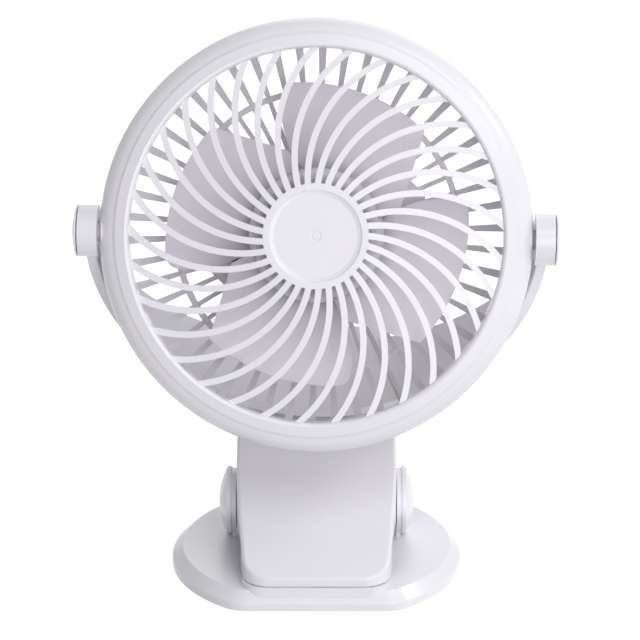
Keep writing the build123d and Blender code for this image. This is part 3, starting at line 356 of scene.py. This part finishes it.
def lathe(name, profile, joint, body, slot, segments):
    """A closed ring swept round a joint's axis from radius and height pairs in millimetres."""
    origin, axis = joint_line(joint)
    turned = Matrix.Translation(origin) @ axis.to_track_quat("Z", "Y").to_matrix().to_4x4()
    shape = bmesh.new()
    rings = []
    for k in range(segments):
        angle = math.tau * k / segments
        across = Vector((math.cos(angle), math.sin(angle), 0.0))
        places = [across * r * MM + Vector((0, 0, h * MM)) for r, h in profile]
        rings.append([shape.verts.new(turned @ place) for place in places])
    for k in range(segments):
        near, far = rings[k], rings[(k + 1) % segments]
        for i in range(len(profile)):
            j = (i + 1) % len(profile)
            shape.faces.new((near[i], near[j], far[j], far[i]))
    bmesh.ops.recalc_face_normals(shape, faces=shape.faces)
    for face in shape.faces:
        face.smooth = True
    mesh = bpy.data.meshes.new(name)
    shape.to_mesh(mesh)
    shape.free()
    piece = bpy.data.objects.new(name, mesh)
    bpy.context.scene.collection.objects.link(piece)
    mesh.materials.append(MATERIALS[slot])
    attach(piece, body)


def add_cap_fillet():
    """The hollow corner where the cap's face runs into its collar."""
    inner = CAP_WALL - FILLET_WIDTH
    corner = [(inner + FILLET_WIDTH * math.sin(a), CAP_FACE + FILLET_HEIGHT * (1 - math.cos(a)))
              for a in (math.radians(d) for d in range(0, 91, FILLET_STEP))]
    profile = corner + [(CAP_WALL, CAP_FACE - EMBED), (inner, CAP_FACE - EMBED)]
    lathe("cap_fillet", profile, "impeller_spin", "head", "white_plastic", segments=180)


def add_gate_dish():
    """The sloping floor of the small dimple in the middle of the cap."""
    profile = list(DISH) + [(DISH[-1][0], DISH_BACK), (DISH[0][0], DISH_BACK)]
    lathe("gate_dish", profile, "impeller_spin", "head", "white_plastic", segments=72)


def add_seam_bead():
    """The soft line where the front grille's rim meets the outer ring."""
    profile = [(SEAM + out, height) for out, height in SEAM_BEAD]
    lathe("seam_bead", profile, "impeller_spin", "head", "white_plastic", segments=360)


add_cap_fillet()
add_gate_dish()
add_seam_bead()


# ---------------------------------------------------------------- floor, light and camera
def background_rays(nodes, links):
    """1 for rays from the camera, off glossy surfaces and through clear ones."""
    path = nodes.new("ShaderNodeLightPath")
    seen = calculate(nodes, links, "MAXIMUM", path.outputs["Is Camera Ray"], path.outputs["Is Glossy Ray"])
    return calculate(nodes, links, "MAXIMUM", seen, path.outputs["Is Transmission Ray"])


def add_floor():
    """A pale floor that shows white where it is lit and keeps the object's shadow."""
    bpy.ops.mesh.primitive_plane_add(size=2 * FLOOR_HALF)
    floor = bpy.context.object
    floor.name = "floor"
    material, nodes, links, shader = new_material("floor")
    shader.inputs["Base Color"].default_value = (FLOOR_GREY, FLOOR_GREY, FLOOR_GREY, 1.0)
    shader.inputs["Roughness"].default_value = FLOOR_ROUGHNESS
    shader.inputs["Specular IOR Level"].default_value = 0.0
    glow = nodes.new("ShaderNodeEmission")
    glow.inputs["Color"].default_value = WHITE
    strength = calculate(nodes, links, "MULTIPLY", background_rays(nodes, links), FLOOR_GLOW)
    links.new(strength, glow.inputs["Strength"])
    both = nodes.new("ShaderNodeAddShader")
    links.new(shader.outputs["BSDF"], both.inputs[0])
    links.new(glow.outputs["Emission"], both.inputs[1])
    links.new(both.outputs["Shader"], nodes["Material Output"].inputs["Surface"])
    floor.data.materials.append(material)


def add_world():
    """Soft light all round that leans to the right, seen as white by the camera and in reflections."""
    world = bpy.data.worlds.new("studio")
    bpy.context.scene.world = world
    world.use_nodes = True
    nodes, links = world.node_tree.nodes, world.node_tree.links
    light = nodes["Background"]
    light.inputs["Color"].default_value = (*WORLD_COLOUR, 1.0)
    direction = nodes.new("ShaderNodeTexCoord")
    parts = nodes.new("ShaderNodeSeparateXYZ")
    links.new(direction.outputs["Generated"], parts.inputs[0])
    leaning = calculate(nodes, links, "MULTIPLY", parts.outputs["X"], WORLD_LEAN)
    links.new(calculate(nodes, links, "ADD", leaning, WORLD_LIGHT), light.inputs["Strength"])
    seen = nodes.new("ShaderNodeBackground")
    seen.inputs["Color"].default_value = WHITE
    seen.inputs["Strength"].default_value = 1.0
    mix = nodes.new("ShaderNodeMixShader")
    links.new(background_rays(nodes, links), mix.inputs["Fac"])
    links.new(light.outputs["Background"], mix.inputs[1])
    links.new(seen.outputs["Background"], mix.inputs[2])
    links.new(mix.outputs["Shader"], nodes["World Output"].inputs["Surface"])


def add_softbox(name, at, size, power):
    """A square area lamp aimed at the part."""
    lamp = bpy.data.lights.new(name, "AREA")
    lamp.shape = "SQUARE"
    lamp.size = size
    lamp.energy = power
    holder = bpy.data.objects.new(name, lamp)
    holder.location = at
    aim = Vector(LAMPS_AIM) - Vector(at)
    holder.rotation_euler = aim.to_track_quat("-Z", "Y").to_euler()
    bpy.context.scene.collection.objects.link(holder)


def add_camera():
    """The photograph's camera."""
    camera = bpy.data.cameras.new("camera")
    camera.sensor_width = SENSOR_WIDTH
    camera.lens = CAMERA_LENS
    holder = bpy.data.objects.new("camera", camera)
    holder.location = CAMERA_AT
    holder.rotation_euler = (math.radians(90 - CAMERA_DOWN), 0, 0)
    bpy.context.scene.collection.objects.link(holder)
    bpy.context.scene.camera = holder


add_floor()
add_world()
for lamp in LAMPS:
    add_softbox(*lamp)
add_camera()
bpy.context.scene.view_settings.view_transform = "Standard"
